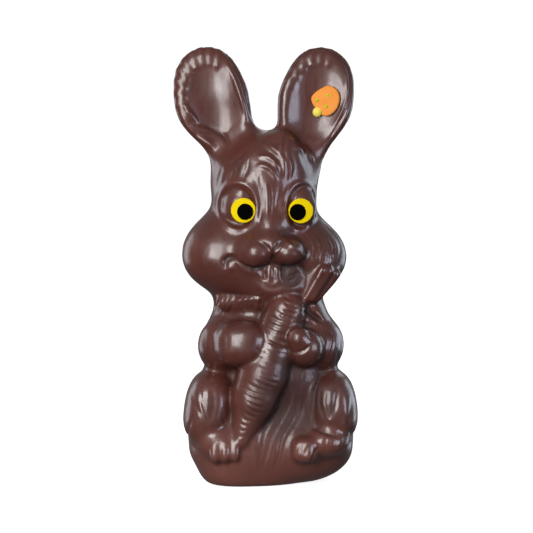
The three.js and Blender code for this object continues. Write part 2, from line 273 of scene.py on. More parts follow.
class Relief:
    # spots are photo pixels from the front, and mm from the other sides; widths and heights are mm
    def __init__(self, seed):
        self.strokes = []
        self.random = np.random.default_rng(seed)

    def stroke(self, spots, width, height, tapered=True, side="front"):
        self.strokes.append((smoothLine(spots), width, height, tapered, side))

    def comb(self, first, last, count, width, height, side="front"):
        # strokes spread between two guide strokes
        first = smoothLine(first, reliefSettings["combParts"])
        last = smoothLine(last, reliefSettings["combParts"])
        uneven = reliefSettings["uneven"]
        for i in range(count):
            share = (i + self.random.uniform(*reliefSettings["spacing"])) / max(count - 1, 1)
            spots = first * (1 - share) + last * share
            length = spots[-1] - spots[0]
            spots[0] -= length * self.random.uniform(-uneven, uneven)
            spots[-1] += length * self.random.uniform(-2 * uneven, 2 * uneven)
            ownWidth = width * self.random.uniform(*reliefSettings["ownWidth"])
            ownHeight = height * self.random.uniform(*reliefSettings["ownHeight"])
            self.stroke(spots, ownWidth, ownHeight, True, side)

    def ring(self, middle, across, up, lean, width, height, start=0, end=360, side="front"):
        angles = np.radians(np.linspace(start, end, reliefSettings["ringPoints"]))
        tilt = math.radians(lean)
        flat = np.stack([across * np.cos(angles), -up * np.sin(angles)], axis=1)
        turn = np.array([[math.cos(tilt), -math.sin(tilt)], [math.sin(tilt), math.cos(tilt)]])
        self.stroke(flat @ turn.T + np.array(middle), width, height, end - start < 360, side)

    def heights(self, points, outward):
        total = np.zeros(len(points))
        pixels, toCamera = asPhotographed(points)
        views = {"front": (pixels, toCamera, pixelSize), "back": (points[:, [0, 2]], (0, 1, 0), 1),
                 "left": (points[:, [1, 2]], (1, 0, 0), 1), "right": (points[:, [1, 2]], (-1, 0, 0), 1)}
        least, over = reliefSettings["facing"]
        for side, (flat, way, scale) in views.items():
            facing = np.clip((outward @ np.array(way) - least) / over, 0, 1)
            seen = np.flatnonzero(facing > 0)
            own = np.zeros(len(seen))
            spots = flat[seen] * scale
            for line, width, height, tapered, strokeSide in self.strokes:
                if strokeSide == side:
                    self.press(spots, own, line * scale, width, height, tapered)
            total[seen] += own * facing[seen]
        return total

    def press(self, flat, own, line, width, height, tapered):
        # adds one stroke to the heights of the points near it
        low = line.min(axis=0) - reliefSettings["reach"] * width
        high = line.max(axis=0) + reliefSettings["reach"] * width
        near = np.flatnonzero(((flat > low) & (flat < high)).all(axis=1))
        if len(near) == 0:
            return
        spots = flat[near]
        best = np.full(len(near), 1e9)
        share = np.zeros(len(near))
        lengths = np.linalg.norm(np.diff(line, axis=0), axis=1)
        gone = np.concatenate([[0], np.cumsum(lengths)])
        for i, length in enumerate(lengths):
            run = line[i + 1] - line[i]
            t = np.clip((spots - line[i]) @ run / (length * length + 1e-12), 0, 1)
            off = np.linalg.norm(spots - line[i] - t[:, None] * run, axis=1)
            closer = off < best
            best[closer] = off[closer]
            share[closer] = (gone[i] + t[closer] * length) / gone[-1]
        fade = np.ones(len(near))
        if tapered:
            for toEnd in (share, 1 - share):
                fade *= np.clip(toEnd / reliefSettings["fade"], 0, 1) ** reliefSettings["fadeCurve"]
        narrow = width * (0.5 + 0.5 * fade)
        own[near] += height * fade * np.exp(-(best / narrow) ** 2)


# ---- the cast chocolate figure

bunnySettings = {
    "footRounding": 1.5,
    "roughVoxel": 1.5,
    "fineVoxel": 1.17,
    "settleRounds": 5,
    "settleAgain": 2,  # once the detail is in
    "smoothRounds": 5,
    "reliefRounds": 1,
    "creaseRounds": 40,
    "markRange": (-1, 1.5),  # mm, the range that the groove and crease attributes keep
    "detailPlace": ((160, 45), (362, 466)),  # photo pixels of the part that gets twice the points
    "detailFacing": 0.05,
    "trunk": [
        egg((1.3, 0, 18.6), (38, 24.5, 20), 1, power=2.5, yaw=8),
        egg((-8, -4.5, 9), (24, 18, 12.5), 3, power=2.6, yaw=10),
        egg((1, 2, 36), (38, 20.5, 26), 8),
        egg((0.8, 2, 64), (31.2, 18.5, 25), 6),
        egg((0, 2, 86), (24.3, 17, 16), 8),
        egg((1, 11, 42), (28, 16, 36), 8),
        egg((1, 24.5, 24), (9.5, 9.5, 9.5), 3),
        egg((7.5, -8, 40), (17, 13, 22), 4, power=3, yaw=9, pitch=11),
    ],
    "thighs": [
        egg((-27, -9, 35.5), (11.6, 17.5, 17.4), 2.5, power=2.4, lean=9),
        egg((29.8, -7.5, 36), (11.2, 17.5, 16.8), 2.5, power=2.4, lean=-8),
    ],
    "head": [
        egg((-1.9, 1, 138), (24.6, 19.5, 24), 8),
        egg((-2, 1, 111), (29.5, 21, 18.5), 12),
        egg((-21.5, -5, 105.5), (18, 18, 16.4), 10),
        egg((21, -4, 104.5), (15.2, 17, 14.2), 9),
        egg((-3, -8.5, 100.5), (22, 15.5, 13), 8),
    ],
    "ears": [
        egg((-26.9, 3.5, 179), (16.3, 6.5, 21.4), 3, lean=-9, pitch=-9, power=2.15),
        stalk((-24.4, 2.5, 173), (-13.5, 1, 149.5), 15.4, 11, 6, deep=0.42),
        egg((23, 3.5, 179), (16.3, 6.5, 21.4), 3, lean=10, pitch=-9, power=2.15),
        stalk((20.6, 2.5, 173), (13.6, 1, 149.5), 15.6, 11, 6, deep=0.42),
        hollow(egg((-26.6, -10.6, 177.5), (20, 12, 28), 3, lean=-8, pitch=-9)),
        hollow(stalk((-23.2, -6, 167), (-14.8, -13, 152), 12, 8, 5, deep=0.6)),
        hollow(egg((23, -10.6, 177.5), (19.6, 12, 28), 3, lean=8, pitch=-9)),
        hollow(stalk((20.6, -6, 167), (16.4, -13, 154), 11.4, 7.6, 5, deep=0.6)),
    ],
    "brows": [
        egg((-2.5, -9, 140), (16, 10, 15), 8),
        egg((8, -9, 151.5), (7, 7.5, 11), 6, lean=-15),
        egg((1, -13, 123.5), (9, 8, 17), 6),
        hollow(egg((-13.5, -24.5, 129), (8.4, 5, 10.6), 2.5, lean=6)),
        hollow(egg((14.5, -23.5, 129), (7, 5, 10.6), 2.5, lean=-8)),
        egg((-13, -12.5, 127.5), (7.6, 7.5, 9.6), 1.5),
        egg((15, -11.5, 127.5), (6.6, 7.5, 9.6), 1.5),
    ],
    "muzzle": [
        egg((1, -17, 117), (6.5, 8, 8), 6),
        egg((-5.2, -22, 107.8), (7.6, 8.5, 7), 6),
        egg((9.3, -22, 108), (7.6, 8.5, 6.4), 2.5),
        egg((1.4, -24.4, 112.6), (5.8, 4.8, 4.2), 3),
        egg((2, -27.2, 110.4), (2.6, 3, 3.8), 1.5),
        egg((4, -13, 91.5), (14.5, 11, 7), 6, yaw=-6),
        hollow(egg((2.4, -29.5, 98.4), (8, 7.3, 4.8), 3.5)),
        egg((0.7, -20.6, 98.3), (1.8, 3.8, 4.2), 0.4, power=4),
        egg((4.3, -20.6, 98.3), (1.8, 3.8, 4.2), 0.4, power=4),
        egg((-16.6, -19.5, 101), (2.8, 4.5, 2.6), 1.2),
    ],
    "chest": [
        stalk((-20.3, -10.8, 84), (-4.5, -17, 85.4), 3.6, 4, 2.5),
        egg((17.6, -9, 77), (9.4, 10.5, 10), 6),
        egg((-6, -7, 75.5), (12.5, 11, 9), 4),
        egg((-22, -8.5, 64), (10.2, 12.5, 12.2), 4),
        egg((-12, -18, 66), (11.6, 11.2, 10.4), 3, power=2.6, lean=-4, yaw=-10, pitch=-4),
        stalk((-12, -20.5, 67), (-6, -22.5, 68.4), 7.6, 5.2, 2.5),
        egg((25, -8, 64.5), (9.8, 12.5, 12), 5),
        stalk((24, -12, 66), (16.5, -17, 63.5), 8.5, 7.6, 3),
        egg((16.8, -23, 64.6), (8, 7, 8.4), 3),
        egg((14, -26.2, 69.2), (5.2, 4.6, 5.2), 1.5),
    ],
    "earRibs": [
        # middle, across, up, lean, angles, inner and outer share of the ear
        ((-26.9, 179), 16.3, 21.4, -9, range(62, 196, 16), 0.72, 0.93),
        ((23, 179), 16.3, 21.4, 10, range(80, 180, 18), 0.74, 0.9),
    ],
    "ribSize": (1.1, 1.7, 1.3),  # inner radius, outer radius, blend
    "ribPlace": (3.5, -9),  # depth of the ears' middle and how far they lean back
    "ribInside": (0, -3.2, -2),  # how far each end of a rib stands off the ear's middle plane
    "ribOutside": (0, -1.6, 0),
    "carrot": [
        stalk((8.4, -17.5, 81), (1.4, -18.5, 61), 9.6, 10, 1.5),
        stalk((1.4, -18.5, 61), (-1.8, -18.5, 51.5), 10, 11.8, 1.5),
        stalk((-1.8, -18.5, 51.5), (-5.8, -19.5, 40.5), 11.8, 11.1, 1.5),
        stalk((-5.8, -19.5, 40.5), (-12, -24, 22.8), 11.1, 3.8, 1.5),
        stalk((17.8, -15, 87), (25, -14, 97), 4.2, 5.2, 2, deep=0.85),
        stalk((14.8, -18.5, 87.5), (21.6, -19, 99.2), 1.4, 1.8, 1),
        stalk((17.4, -20, 87), (24.6, -20.6, 99.8), 1.6, 2.1, 0.7),
        stalk((20, -19.6, 86.6), (27.6, -20, 99.4), 1.6, 2.1, 0.7),
        stalk((22.2, -17.4, 86.6), (30.4, -16.8, 97.6), 2, 2.8, 0.9),
    ],
    "feet": [
        egg((-21, -17.5, 20), (11, 9.8, 8.2), 3, lean=8),
        egg((-23.4, -23, 17.2), (2.5, 5, 5.4), 1, power=3, yaw=-14, pitch=-8),
        egg((-18.8, -23.4, 17.5), (2.4, 5, 5.4), 1, power=3, yaw=-12, pitch=-8),
        egg((-14.4, -23, 17.9), (2.4, 5, 5.4), 1, power=3, yaw=-10, pitch=-8),
        egg((26.5, -16, 21.3), (10.6, 11.5, 7.8), 2.5),
        egg((17.4, -21, 17.6), (6, 8.6, 6), 2.5, power=3, yaw=-13, pitch=-8),
    ],
}

# photo pixels: lines as (spots, width mm, height mm), combs as (first, last, count, width mm, height mm)
faceSettings = {
    "mouthRight": ([(236, 259.5), (240, 262.5), (246, 267), (253, 269.5), (260, 268.5), (267, 266),
                    (272, 261)], 1, -1.6),
    "mouthLeft": ([(273, 261), (277, 265.5), (285, 267.5), (293, 266.5), (300, 262),
                   (305, 256)], 0.9, -1.2),
    "smileCorner": ([(238, 260.5), (233, 257.5), (227.5, 258.5), (225, 263), (226, 269)], 1.4, -1.2),
    "puffSplit": ([(272.5, 251), (273, 257), (273.2, 263)], 0.8, -0.9),
    "noseRight": ([(256, 240), (262, 243.5), (268, 248.5), (272.5, 254.5)], 0.8, -0.9),
    "noseLeft": ([(284, 239.5), (279, 244.5), (275.5, 249.5), (272.5, 254.5)], 0.8, -0.9),
    "puffLeftRidge": ([(283, 240.5), (290, 244.5), (297, 249.5), (303.5, 255.5)], 0.8, 0.9),
    "puffLeftFacet": ([(283, 242), (280, 248), (275, 255)], 0.8, 0.5),
    "toothSplit": ([(273.8, 267), (273.8, 279)], 0.45, -0.6),
    "lipTop": ([(256, 270.5), (260, 276), (265, 280.5), (272, 283.5), (280, 281.5), (286, 277),
                (292, 272)], 1.2, 0.5),
    "lipUnder": ([(258, 278), (264, 285.5), (272, 288.5), (281, 286), (289, 279)], 1.2, -0.3),
    "foldOne": ([(297, 264), (303, 269), (307, 277)], 1.2, -0.9),
    "foldTwo": ([(284, 278), (292, 276.5), (301, 271)], 1, -0.7),
    "foldThree": ([(282, 286), (293, 283.5), (303, 277)], 1.1, -0.7),
    "chinLine": ([(214, 289), (230, 294), (250, 296.5), (268, 295)], 1.2, -0.6),
    "forelockLow": ([(256, 165), (266, 166.5), (273, 172), (277, 182)], 1.2, 1),
    "forelockMiddle": ([(258, 156), (268, 157.5), (275, 163), (280, 173)], 1.3, 1.2),
    "forelockHigh": ([(262, 144), (271, 147), (277, 152), (280, 160)], 1.3, 1.1),
    "tuftOne": ([(285, 132), (281, 143), (281.5, 153), (284, 164), (285, 178)], 1.2, 1),
    "tuftTwo": ([(290, 136), (287, 147), (288, 158), (290.5, 168), (289, 182)], 1.1, 0.9),
    "templeFold": ([(292, 146), (303, 151), (314, 163)], 1.3, 1),
    "foreheadDip": ([(225, 168), (243, 168), (258, 176)], 5, -0.9),
}
faceCombs = {
    "cheekRibs": ([(303, 234), (309, 240), (312, 248), (310, 258)],
                  [(326, 227), (337, 238), (341, 250), (337, 263)], 9, 0.65, -0.55),
    "foreheadFanRight": ([(238, 186), (247, 198), (254, 216)],
                         [(262, 172), (265, 195), (264, 222)], 11, 0.75, -0.4),
    "foreheadFanLeft": ([(268, 182), (270, 200), (269, 220)],
                        [(290, 184), (284, 200), (277, 218)], 7, 0.7, -0.35),
    "browStrokes": ([(222, 168), (219, 178), (217, 188)],
                    [(250, 158), (248, 168), (244, 178)], 6, 0.8, -0.3),
}
eyeRimSettings = {
    "rims": [
        # middle, across, up in photo pixels, lean
        ((238, 206.5), 19, 24, -6),
        ((300, 206.5), 16, 24, 9),
    ],
    "width": 1.5,
    "height": 0.9,
}
earLines = {
    "rightSeamOuter": ([(222, 50), (231, 60), (240, 77), (246, 95), (250, 113), (252.5, 122)], 0.7, -1.2),
    "rightSeamInner": ([(226, 62), (233, 76), (239, 92), (244, 108), (247, 124)], 0.9, 0.7),
    "rightFoldOne": ([(184, 104), (190, 114), (199, 124)], 1.3, 1.1),
    "rightFoldTwo": ([(190, 124), (202, 130), (214, 132), (224, 136)], 1.4, 1),
    "rightFoldThree": ([(197, 136), (207, 142), (216, 150)], 1.3, 0.8),
    "rightFoldShade": ([(204, 123), (214, 131), (224, 136), (229, 146)], 1.1, -1),
    "leftSeam": ([(282, 88), (289, 70), (300, 56), (313, 49.5), (327, 49.5), (339, 56), (347, 66),
                  (350.5, 80), (350, 96), (345, 112), (337, 126), (326, 144), (320, 152)], 0.55, -0.9),
    "leftSeamInner": ([(344, 66), (347.5, 82), (346.5, 98), (341, 113), (332, 128)], 0.6, 0.5),
    "leftRoot": ([(299, 144), (306, 149), (314, 162)], 1.2, 1),
}
bodyLines = {
    "ruffRoll": ([(232, 306), (240, 300.5), (252, 298.5), (264, 301)], 1.6, 0.7),
    "thighDent": ([(212, 388), (213, 404), (209, 424)], 2.4, -0.7),
    "thighDentLeft": ([(337, 384), (336, 400), (330, 420)], 1.8, -0.8),
    "thighInnerLeft": ([(330, 371), (319, 375), (312, 386), (310.5, 400), (312, 416),
                        (312, 427)], 0.8, 0.9),
    "thighGrooveLeft": ([(330, 375), (321, 378), (316, 387), (314.5, 400), (316, 414)], 0.8, -0.5),
    "thighUnderLeft": ([(312, 428), (324, 432), (340, 437)], 1, -1),
    "pawRim": ([(300, 328), (291, 332), (289, 341), (292, 350)], 0.7, 0.7),
    "pawUnder": ([(291, 352), (298, 352.5), (306, 349), (311, 342)], 0.7, -0.8),
    "fingerLine": ([(305, 329), (310, 334), (313, 341)], 0.7, -0.7),
}
bodyCombs = {
    "ruffStrands": ([(221, 297), (217, 304), (213, 312)],
                    [(262, 296), (261, 303), (257, 311)], 10, 0.8, -0.55),
    "shoulderFur": ([(299, 303), (309, 309), (320, 319)],
                    [(303, 318), (313, 318), (324, 324)], 4, 0.9, -0.9),
    "armStrands": ([(207, 331), (206, 343), (209, 357)],
                   [(226, 329), (228, 343), (226, 359)], 4, 1.1, -0.2),
    "armStrandsLeft": ([(319, 325), (328, 338), (322, 360)],
                       [(335, 326), (342, 342), (335, 364)], 5, 0.9, -0.7),
    "bellyStrands": ([(292, 372), (276, 405), (262, 432), (256, 462)],
                     [(308, 380), (302, 415), (288, 440), (283, 462)], 12, 0.75, -0.5),
    "thighHollowsRight": ([(192, 388), (195, 402), (203, 418)],
                          [(206, 386), (206, 400), (208, 416)], 3, 0.9, -0.5),
    "thighHollowsLeft": ([(322, 390), (321, 404), (326, 422)],
                         [(350, 392), (350, 408), (346, 428)], 5, 1.3, -0.5),
    "leftFootFur": ([(304, 440), (298, 449), (297, 459)],
                    [(319, 443), (314, 453), (310, 463)], 6, 0.75, -0.45),
    "leftFootSide": ([(328, 433), (325, 441), (325, 450)],
                     [(343, 433), (343, 441), (340, 450)], 4, 1, -0.45),
}


def frontRelief(relief):
    for lines in (faceSettings, earLines, bodyLines):
        for line in lines.values():
            relief.stroke(*line)
    for combs in (faceCombs, bodyCombs):
        for comb in combs.values():
            relief.comb(*comb)
    for rim in eyeRimSettings["rims"]:
        relief.ring(*rim, eyeRimSettings["width"], eyeRimSettings["height"])


carrotSettings = {
    "top": (289, 297),  # photo pixels along the middle of the carrot
    "waist": (266, 372),
    "tip": (240, 440),
    "halfWidths": (13, 20, 3),  # at those three, in pixels
    "across": (0.93, 0.38),  # the way the rings run
    "sag": (-0.8, 1.6),  # how far the middle of a ring hangs, in pixels
    "rings": 27,
    "ringWidth": 0.6,
    # a sine of the ring's number times the first figure stands in for chance
    "ringShift": (7.3, 0.35),
    "ringLength": (2.9, 0.6, 0.3),
    "ringDepth": (12.99, 0.22, 0.16),
    "crossFold": ([(264, 340), (274, 344), (284, 350)], 0.6, -0.6),
}


def carrotRelief(relief):
    top, waist, tip = (np.array(carrotSettings[name], float) for name in ("top", "waist", "tip"))
    across = np.array(carrotSettings["across"])
    shiftPace, shiftShare = carrotSettings["ringShift"]
    lengthPace, shortest, longer = carrotSettings["ringLength"]
    depthPace, shallowest, deeper = carrotSettings["ringDepth"]
    for i in range(carrotSettings["rings"]):
        share = i / (carrotSettings["rings"] - 1)
        if share < 0.5:
            middle = top + (waist - top) * share * 2
        else:
            middle = waist + (tip - waist) * (2 * share - 1)
        half = np.interp(share, (0, 0.5, 1), carrotSettings["halfWidths"])
        shift = math.sin(i * shiftPace) * half * shiftShare
        part = half * (shortest + longer * math.sin(i * lengthPace) ** 2)
        deep = shallowest + deeper * (1 + math.sin(i * depthPace))
        spots = [middle + across * (shift - part),
                 middle + across * shift + np.array(carrotSettings["sag"]),
                 middle + across * (shift + part)]
        relief.stroke(spots, carrotSettings["ringWidth"], -deep)
    relief.stroke(*carrotSettings["crossFold"])


# mm, seen from behind and from the sides: first, last, count, width, height
backCombs = {
    "head": ([(-20, 128), (-24, 112), (-22, 96)], [(20, 128), (24, 112), (22, 96)], 15, 1.2, -0.6),
    "back": ([(-19, 88), (-24, 74), (-24, 58)], [(19, 88), (24, 74), (24, 58)], 14, 1.2, -0.6),
    "hips": ([(-26, 54), (-31, 40), (-30, 24)], [(26, 54), (31, 40), (30, 24)], 16, 1.2, -0.6),
    "tail": ([(-5, 31), (-6, 24), (-4, 17)], [(7, 31), (8, 24), (6, 17)], 6, 0.9, -0.7),
}
sideCombs = {
    "arm": ([(6, 74), (8, 62), (4, 52)], [(-6, 74), (-6, 62), (-8, 54)], 5, 1, -0.5),
    "thigh": ([(14, 48), (16, 36), (10, 26)], [(-10, 50), (-13, 38), (-10, 28)], 8, 1.1, -0.5),
    "cheek": ([(12, 116), (14, 104), (8, 94)], [(-6, 116), (-8, 104), (-8, 94)], 6, 1, -0.5),
}
earBackCombs = {
    "right": ([(-30, 190), (-27, 176), (-19, 158)], [(-22, 190), (-19, 176), (-14, 158)], 3, 1.4, -0.4),
    "left": ([(20, 190), (18, 176), (14, 158)], [(28, 190), (25, 176), (18, 158)], 3, 1.4, -0.4),
}
thighRim = ((-8, 38), 17, 16, 0, 1, -0.6, 0, 180)  # middle, across, up, lean, width, height, angles


def backRelief(relief):
    # the coat runs on round the sides and the back as long combed strands
    for comb in backCombs.values():
        relief.comb(*comb, "back")
    for side in ("left", "right"):
        for comb in sideCombs.values():
            relief.comb(*comb, side)
        relief.ring(*thighRim, side)
    for comb in earBackCombs.values():
        relief.comb(*comb, "back")


def relaxed(mesh, points, rounds):
    # evens the skin out so that no crease is jagged
    edges = np.empty(len(mesh.edges) * 2, int)
    mesh.edges.foreach_get("vertices", edges)
    first, second = edges.reshape(-1, 2).T
    count = np.bincount(first, minlength=len(points)) + np.bincount(second, minlength=len(points))
    for _ in range(rounds):
        middle = [np.bincount(first, points[second, axis], len(points))
                  + np.bincount(second, points[first, axis], len(points)) for axis in range(3)]
        points = points * 0.5 + np.stack(middle, axis=1) / count[:, None] * 0.5
    return points


def withDetail(mesh, outward):
    # splits the faces where the photo shows the carving
    low, high = bunnySettings["detailPlace"]
    pixels, toCamera = asPhotographed(readPoints(mesh))
    shown = outward @ toCamera > bunnySettings["detailFacing"]
    fine = ((pixels > low) & (pixels < high)).all(axis=1) & shown
    shape = bmesh.new()
    shape.from_mesh(mesh)
    shape.verts.ensure_lookup_table()
    edges = [e for e in shape.edges if fine[e.verts[0].index] and fine[e.verts[1].index]]
    bmesh.ops.subdivide_edges(shape, edges=edges, cuts=1, use_grid_fill=True)
    bmesh.ops.triangulate(shape, faces=[f for f in shape.faces if len(f.verts) > 4])
    shape.to_mesh(mesh)
    shape.free()


def outwardFrom(mesh):
    ways = np.empty(len(mesh.vertices) * 3)
    mesh.vertex_normals.foreach_get("vector", ways)
    return ways.reshape(-1, 3)


def earRibs():
    # short ribs that stand on the rim of each ear and point into its hollow
    inside, outside, blend = bunnySettings["ribSize"]
    ribs = []
    deep, pitch = bunnySettings["ribPlace"]
    for middle, across, up, lean, angles, inner, outer in bunnySettings["earRibs"]:
        turn = turned(lean, pitch, 0)
        centre = (middle[0], deep, middle[1])
        for angle in np.radians(angles):
            way = np.array((across * math.cos(angle), 0, up * math.sin(angle)))
            start = np.array(turn @ Vector(way * inner + bunnySettings["ribInside"])) + centre
            end = np.array(turn @ Vector(way * outer + bunnySettings["ribOutside"])) + centre
            ribs.append(stalk(start, end, inside, outside, blend))
    return ribs


def makeBunny():
    parts = ("trunk", "thighs", "head", "ears", "brows", "muzzle", "chest", "carrot", "feet")
    lobes = [lobe for part in parts for lobe in bunnySettings[part]] + earRibs()
    rough = lobeShapes(lobes)
    mesh = bpy.data.meshes.new("rough")
    rough.to_mesh(mesh)
    rough.free()
    footRounding = bunnySettings["footRounding"]
    for voxel in ("roughVoxel", "fineVoxel"):
        mesh = remeshed(mesh, bunnySettings[voxel] * mm)
        points, outward = settle(readPoints(mesh), lobes, footRounding, bunnySettings["settleRounds"])
        writePoints(mesh, points)
        print("skin settled,", len(points), "points")
    withDetail(mesh, outward)
    points, outward = settle(readPoints(mesh), lobes, footRounding, bunnySettings["settleAgain"])
    points = relaxed(mesh, points, bunnySettings["smoothRounds"])
    writePoints(mesh, points)
    outward = outwardFrom(mesh)
    relief = Relief(reliefSettings["seed"])
    frontRelief(relief)
    carrotRelief(relief)
    backRelief(relief)
    height = relief.heights(points, outward)
    points = relaxed(mesh, points + outward * height[:, None], bunnySettings["reliefRounds"])
    low, high = (np.array(corner) / mm for corner in cadBox)
    writePoints(mesh, np.clip(points, low, high))
    # depth below the smoothed skin; the material paints shade into creases from it, and into sunk strokes
    # from the groove attribute
    filled = relaxed(mesh, points, bunnySettings["creaseRounds"])
    depth = ((filled - points) * outward).sum(axis=1)
    for name, value in (("groove", -height), ("crease", depth)):
        own = mesh.attributes.new(name, "FLOAT", "POINT")
        kept = np.clip(value, *bunnySettings["markRange"])
        own.data.foreach_set("value", kept.astype(np.float32))
    mesh.shade_smooth()
    bunny = bpy.data.objects.new("chocolate_bunny", mesh)
    bpy.context.scene.collection.objects.link(bunny)
    print("bunny done,", sum(len(f.vertices) - 2 for f in mesh.polygons), "triangles")
    return bunny


# ---- materials: sums on sockets make Math nodes


class Wire:
    def __init__(self, recipe, socket):
        self.recipe = recipe
        self.socket = socket

    def math(self, operation, first, second):
        return self.recipe.add("ShaderNodeMath", {"operation": operation}, {0: first, 1: second})

    def __add__(self, other):
        return self.math("ADD", self, other)

    def __radd__(self, other):
        return self.math("ADD", other, self)

    def __sub__(self, other):
        return self.math("SUBTRACT", self, other)

    def __rsub__(self, other):
        return self.math("SUBTRACT", other, self)

    def __mul__(self, other):
        return self.math("MULTIPLY", self, other)

    def __rmul__(self, other):
        return self.math("MULTIPLY", other, self)


class Recipe:
    def __init__(self, owner):
        owner.use_nodes = True
        self.owner = owner
        self.tree = owner.node_tree
        self.tree.nodes.clear()

    def add(self, kind, settings=None, inputs=None, output=0):
        node = self.tree.nodes.new(kind)
        for name, value in (settings or {}).items():
            setattr(node, name, value)
        for name, value in (inputs or {}).items():
            if isinstance(value, Wire):
                self.tree.links.new(value.socket, node.inputs[name])
            else:
                node.inputs[name].default_value = value
        return Wire(self, node.outputs[output]) if node.outputs else None

    def noise(self, place, scale, detail, roughness=0.5):
        return self.add("ShaderNodeTexNoise", {}, {
            "Vector": place, "Scale": scale, "Detail": detail, "Roughness": roughness}, "Fac")

    def between(self, value, low, high, newLow=0, newHigh=1):
        return self.add("ShaderNodeMapRange", {"clamp": True}, {
            "Value": value, "From Min": low, "From Max": high, "To Min": newLow, "To Max": newHigh})

    def mix(self, share, first, second):
        return self.add("ShaderNodeMix", {"data_type": "RGBA"}, {0: share, 6: first, 7: second}, 2)

    def finish(self, inputs):
        surface = self.add("ShaderNodeBsdfPrincipled", {}, inputs)
        self.add("ShaderNodeOutputMaterial", {}, {"Surface": surface})
        return self.owner


def colour(red, green, blue):
    # a colour as it looks on a screen, 0 to 255
    parts = [value / 255 for value in (red, green, blue)]
    return (*[p / 12.92 if p < 0.04045 else ((p + 0.055) / 1.055) ** 2.4 for p in parts], 1)


chocolateSettings = {
    "dark": colour(76, 37, 30),
    "warm": colour(90, 45, 37),
    # painted bounce light from the floor: a paler, redder colour for the lower part of the figure
    "low": colour(122, 75, 66),
    # the colour of painted shade in grooves, creases and shaded recesses
    "paintedShade": colour(34, 16, 12),
    # noises: scale, detail, roughness
    "clouds": (38, 3, 0.5),
    "smears": (150, 4, 0.6),
    "streaks": (420, 3, 0.6),
    "waves": (170, 2, 0.5),
    "streakStretch": (1, 1, 0.22),  # the sheen is drawn out along the height
    "bounceLightHeight": 0.055,  # where the painted bounce light, paler towards the foot, has run out
    "bounceLightShare": 0.7,
    # the share of the painted shade colour, in sunk strokes, in creases and at the dull places, where shade
    # falls
    "groovePaintedShade": 0.5,
    "creasePaintedShade": 0.75,
    "dullPaintedShade": 0.52,
    "roughness": 0.3,
    "smearRough": 0.1,
    "streakRough": 0.16,
    "creaseRough": 0.3,
    "dullRough": 0.12,
    "coat": 0.6,
    "coatRoughness": 0.17,
    "cloudCoat": 0.2,  # what each takes off the coat
    "creaseCoat": 0.4,
    "dullCoat": 0.35,
    "bump": 0.25,
    "bumpHeight": 0.0006,
    "streakBump": 0.35,
    "dullShadedPlaces": [
        # the belly and the corner of the mouth, rougher and with painted shade: middle, reach of the full
        # and of the faded part
        ((0.0095, -0.021, 0.042), 0.014, 0.024),
        ((0.0105, -0.024, 0.0975), 0.004, 0.009),
    ],
}


def chocolateMaterial():
    own = chocolateSettings
    recipe = Recipe(bpy.data.materials.new("glossyDarkChocolate"))
    place = recipe.add("ShaderNodeTexCoord", output="Object")
    clouds = recipe.noise(place, *own["clouds"])
    smears = recipe.noise(place, *own["smears"])
    height = recipe.add("ShaderNodeSeparateXYZ", {}, {"Vector": place}, "Z")
    low = recipe.between(height, 0, own["bounceLightHeight"], 1, 0)
    groove = recipe.add("ShaderNodeAttribute", {"attribute_name": "groove"}, output="Fac")
    base = recipe.mix(recipe.between(clouds, 0.35, 0.65), own["dark"], own["warm"])
    # painted bounce light: paler and redder towards the bottom
    base = recipe.mix(low * own["bounceLightShare"], base, own["low"])
    # painted shade in sunk strokes
    base = recipe.mix(recipe.between(groove, 0.1, 1.3, 0, own["groovePaintedShade"]), base, own["paintedShade"])
    crease = recipe.add("ShaderNodeAttribute", {"attribute_name": "crease"}, output="Fac")
    # painted shade in creases
    base = recipe.mix(recipe.between(crease, 0.05, 1, 0, own["creasePaintedShade"]), base, own["paintedShade"])
    dullAndShaded = 0
    for middle, near, far in own["dullShadedPlaces"]:
        away = recipe.add("ShaderNodeVectorMath", {"operation": "DISTANCE"}, {0: place, 1: middle}, "Value")
        dullAndShaded = recipe.between(away, near, far, 1, 0) + dullAndShaded
    # painted shade over the belly and the mouth corner, where they lie in shadow
    base = recipe.mix(dullAndShaded * own["dullPaintedShade"], base, own["paintedShade"])
    drawn = recipe.add("ShaderNodeVectorMath", {"operation": "MULTIPLY"}, {
        0: place, 1: own["streakStretch"]})
    streaks = recipe.noise(drawn, *own["streaks"])
    roughness = (own["roughness"] + recipe.between(smears, 0.35, 0.7) * own["smearRough"]
                 + recipe.between(streaks, 0.4, 0.7) * own["streakRough"]
                 + recipe.between(crease, 0.15, 0.8) * own["creaseRough"] + dullAndShaded * own["dullRough"])
    coat = (own["coat"] - recipe.between(clouds, 0.45, 0.7) * own["cloudCoat"]
            - recipe.between(crease, 0.05, 0.5) * own["creaseCoat"] - dullAndShaded * own["dullCoat"])
    waves = recipe.noise(place, *own["waves"])
    bump = recipe.add("ShaderNodeBump", {}, {
        "Strength": own["bump"], "Distance": own["bumpHeight"],
        "Height": waves + streaks * own["streakBump"]}, "Normal")
    return recipe.finish({"Base Color": base, "Roughness": roughness, "Normal": bump, "Coat Weight": coat,
                          "Coat Roughness": own["coatRoughness"]})


bunny = makeBunny()
bunny.data.materials.clear()
bunny.data.materials.append(chocolateMaterial())
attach(bunny, "root")
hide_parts("bunny_body")

# ---- sugar pieces

